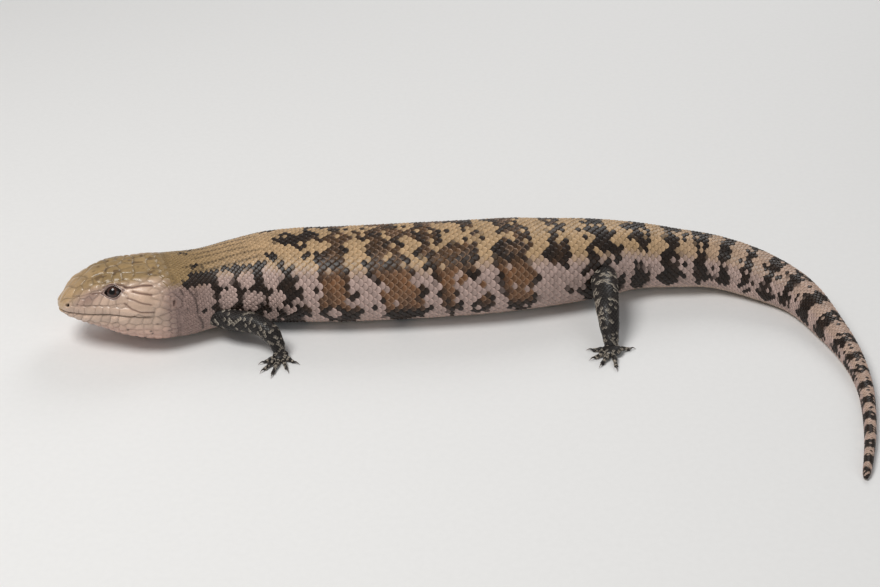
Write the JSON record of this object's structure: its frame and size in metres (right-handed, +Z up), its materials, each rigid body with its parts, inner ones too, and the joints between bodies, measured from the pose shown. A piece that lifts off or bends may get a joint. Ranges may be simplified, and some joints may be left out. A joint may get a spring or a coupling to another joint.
{
  "type": "blue tongued skink",
  "caption": "Heavy bodied long lizard at rest, with banded scales, short legs and a tapering tail swung round to one side.",
  "frame": {"origin": "on the floor, under the middle of the box round the whole animal", "axes": "+Z up, the head points to -X, the animal's left side faces -Y"},
  "size_m": [0.3998, 0.2296, 0.0426],
  "materials": {
    "skin_pale": "satin scales",
    "skin_banded": "satin scales in dark and pale bands",
    "skin_leg": "satin scales, near black with pale flecks",
    "eye": "wet gloss",
    "claw": "smooth horn"
  },
  "bodies": {
    "root": {"eye_left": "eye", "eye_right": "eye", "head": "skin_pale", "jaw": "skin_pale", "neck": "skin_pale", "torso_front": "skin_banded", "torso_rear": "skin_banded", "tail_1": "skin_banded", "tail_2": "skin_banded", "tail_3": "skin_banded", "tail_4": "skin_banded", "foreleg_left_upper": "skin_leg", "foreleg_left_lower": "skin_leg", "foreleg_left_claw_1": "claw", "foreleg_left_claw_2": "claw", "foreleg_left_claw_3": "claw", "foreleg_left_claw_4": "claw", "foreleg_left_claw_5": "claw", "foreleg_left_foot": "skin_leg", "foreleg_right_upper": "skin_leg", "foreleg_right_lower": "skin_leg", "foreleg_right_claw_1": "claw", "foreleg_right_claw_2": "claw", "foreleg_right_claw_3": "claw", "foreleg_right_claw_4": "claw", "foreleg_right_claw_5": "claw", "foreleg_right_foot": "skin_leg", "hindleg_left_upper": "skin_leg", "hindleg_left_lower": "skin_leg", "hindleg_left_claw_1": "claw", "hindleg_left_claw_2": "claw", "hindleg_left_claw_3": "claw", "hindleg_left_claw_4": "claw", "hindleg_left_claw_5": "claw", "hindleg_left_foot": "skin_leg", "hindleg_right_upper": "skin_leg", "hindleg_right_lower": "skin_leg", "hindleg_right_claw_1": "claw", "hindleg_right_claw_2": "claw", "hindleg_right_claw_3": "claw", "hindleg_right_claw_4": "claw", "hindleg_right_claw_5": "claw", "hindleg_right_foot": "skin_leg"}
  },
  "joints": []
}
